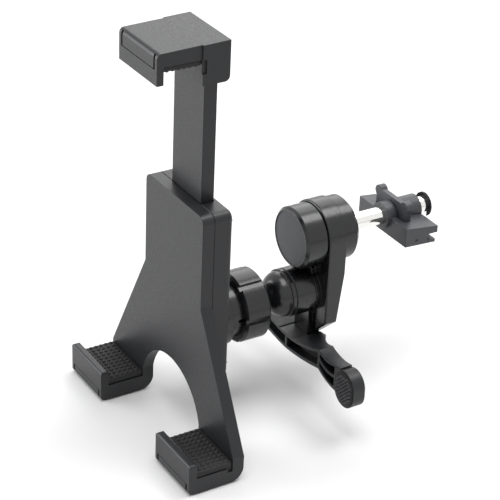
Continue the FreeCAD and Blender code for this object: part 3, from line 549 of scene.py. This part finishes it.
def screw_set(node, body):
    low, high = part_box(node)
    reach = HEAD_R_MM * MM
    columns = (low.x + reach, high.x - reach)
    rows = sorted({round(low.z + reach, TO_MICROMETRE), round(high.z - reach, TO_MICROMETRE)})
    spots = [(x, z) for x in columns for z in rows]
    first_x, first_z = spots[0]
    first = cross_screw(node + "_crossed", first_x, first_z, low.y, high.y)
    copies = []
    for x, z in spots[1:]:
        deselect()
        first.select_set(True)
        bpy.context.view_layer.objects.active = first
        bpy.ops.object.duplicate()
        bpy.ops.transform.translate(value=(x - first_x, 0, z - first_z))
        settle()
        copies.append(bpy.context.object)
    join_into(first, copies)
    bpy.ops.object.shade_smooth_by_angle(angle=CRISP_EDGES)
    first.data.materials.clear()
    first.data.materials.append(zinc)
    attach(first, body)
    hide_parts(node)
    print(first.name, len(spots), "screws")


screw_set("cover_screws", "cradle")
screw_set("jaw_screws", "jaw")

# %% [markdown]
# Two pairs of coil springs work inside the holder. A ring of wire is wound up by a screw modifier, its ends
# are closed, and a mirror gives the second spring.

# %% Coil springs
WIRE_SIDES = 10
COIL_STEPS = 24


def coil_pair(node, wire_mm, turns):
    low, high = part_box(node)
    wire = wire_mm * MM
    outer = (high.y - low.y) / 2
    deselect()
    bpy.ops.mesh.primitive_circle_add(vertices=WIRE_SIDES, radius=wire, location=(outer - wire, 0, 0),
                                      rotation=ALONG_Y)
    coil = bpy.context.object
    coil.name = node + "_wound"
    settle()
    wind = coil.modifiers.new("wind", "SCREW")
    wind.iterations = turns
    wind.screw_offset = (high.z - low.z - 2 * wire) / turns
    wind.steps = COIL_STEPS
    wind.render_steps = COIL_STEPS
    bpy.ops.object.modifier_apply(modifier=wind.name)
    bpy.ops.object.mode_set(mode="EDIT")
    bpy.ops.mesh.select_all(action="SELECT")
    bpy.ops.mesh.fill_holes(sides=WIRE_SIDES)
    bpy.ops.mesh.select_all(action="SELECT")
    bpy.ops.mesh.normals_make_consistent(inside=False)
    bpy.ops.object.mode_set(mode="OBJECT")
    bpy.ops.transform.translate(value=(high.x - outer, low.y + outer, low.z + wire))
    settle()
    pair = coil.modifiers.new("pair", "MIRROR")
    bpy.ops.object.modifier_apply(modifier=pair.name)
    bpy.ops.object.shade_smooth_by_angle(angle=ROUND_EDGES)
    coil.data.materials.clear()
    coil.data.materials.append(zinc)
    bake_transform(coil)
    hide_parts(node)
    print(coil.name, len(coil.data.polygons), "faces")


coil_pair("jaw_springs", wire_mm=0.4, turns=6)
coil_pair("latch_springs", wire_mm=0.3, turns=3)

# %% [markdown]
# The studio is a wide pale floor under a white surround. Two broad lamps stand on the left, behind and in
# front, one hangs above, and a smaller one above and behind draws a highlight along the round pieces. Broad
# lamps give black plastic long soft reflections, which is what shows its shape.

# %% Floor
FLOOR_SIZE = 6.0
FLOOR_DROP_MM = 0.5
PAPER_ROUGHNESS = 0.9
PAPER_REFLECTION = 0.1
lowest = cad_box[0][2]
deselect()
bpy.ops.mesh.primitive_plane_add(size=FLOOR_SIZE, location=(0, 0, lowest - FLOOR_DROP_MM * MM))
floor = bpy.context.object
floor.name = "studio_floor"
floor_paper, _, floor_shader, _ = new_material("white_paper")
floor_shader.inputs["Base Color"].default_value = linear("#f4f4f4")
floor_shader.inputs["Roughness"].default_value = PAPER_ROUGHNESS
floor_shader.inputs["Specular IOR Level"].default_value = PAPER_REFLECTION
floor.data.materials.append(floor_paper)

# %% [markdown]
# The surround is seen, and mirrored in shiny surfaces, at full white. For all other light it is weaker, so
# that the lamps still shape the object.

# %% Surround
SURROUND_FILL = 0.35
SURROUND_SEEN = 1.0
world = bpy.data.worlds.new("studio_surround")
bpy.context.scene.world = world
world.use_nodes = True
world_tree = world.node_tree
surround = world_tree.nodes["Background"]
rays = add(world_tree, "ShaderNodeLightPath").outputs
seen = add(world_tree, "ShaderNodeMath", {0: rays["Is Camera Ray"], 1: rays["Is Glossy Ray"]},
           operation="MAXIMUM")
strength = add(world_tree, "ShaderNodeMapRange", {"Value": seen.outputs[0], "To Min": SURROUND_FILL,
                                                  "To Max": SURROUND_SEEN})
world_tree.links.new(strength.outputs["Result"], surround.inputs["Strength"])
surround.inputs["Color"].default_value = linear("#ffffff")

# %% Lamps
MIDDLE_OF_HOLDER = Vector((0, -0.07, 0.01))


def soft_lamp(name, place, size, watts):
    deselect()
    bpy.ops.object.light_add(type="AREA", location=place)
    lamp = bpy.context.object
    lamp.name = name
    lamp.data.shape = "DISK"
    lamp.data.size = size
    lamp.data.energy = watts
    lamp.rotation_euler = (MIDDLE_OF_HOLDER - Vector(place)).to_track_quat("-Z", "Y").to_euler()


soft_lamp("back_left_lamp", place=(-0.7, 0.4, 0.6), size=0.9, watts=3.4)
soft_lamp("front_left_lamp", place=(-0.55, -0.8, 0.16), size=0.8, watts=7)
soft_lamp("top_lamp", place=(0.1, -0.15, 1.0), size=0.7, watts=5.5)
soft_lamp("back_top_lamp", place=(0.05, 0.4, 0.88), size=0.48, watts=3.2)

# %% [markdown]
# The camera stands to the right of the holder and above it. A long lens keeps upright edges nearly parallel.
# Its turn is built from its direction, height and a small roll, and its lens from the focal length in pixels.

# %% Camera
IMAGE_PX = 500
FOCAL_PX = 1783
SENSOR_MM = 36
CAMERA_AT = Vector((0.4722, -0.3709, 0.31515))
AZIMUTH = math.radians(57.5)
ELEVATION = math.radians(29.03)
ROLL = math.radians(2.58)

back = Vector((math.sin(AZIMUTH) * math.cos(ELEVATION), -math.cos(AZIMUTH) * math.cos(ELEVATION),
               math.sin(ELEVATION)))
level = (-back).cross(Vector((0, 0, 1))).normalized()
upright = level.cross(-back)
right = math.cos(ROLL) * level + math.sin(ROLL) * upright
up = -math.sin(ROLL) * level + math.cos(ROLL) * upright
bpy.ops.object.camera_add()
camera = bpy.context.object
camera.data.sensor_width = SENSOR_MM
camera.data.lens = FOCAL_PX / IMAGE_PX * SENSOR_MM
camera.matrix_world = Matrix((
    (right.x, up.x, back.x, CAMERA_AT.x),
    (right.y, up.y, back.y, CAMERA_AT.y),
    (right.z, up.z, back.z, CAMERA_AT.z),
    (0, 0, 0, 1)))
bpy.context.scene.camera = camera
bpy.context.scene.view_settings.view_transform = "Standard"
print("lens", round(camera.data.lens, 1), "mm")
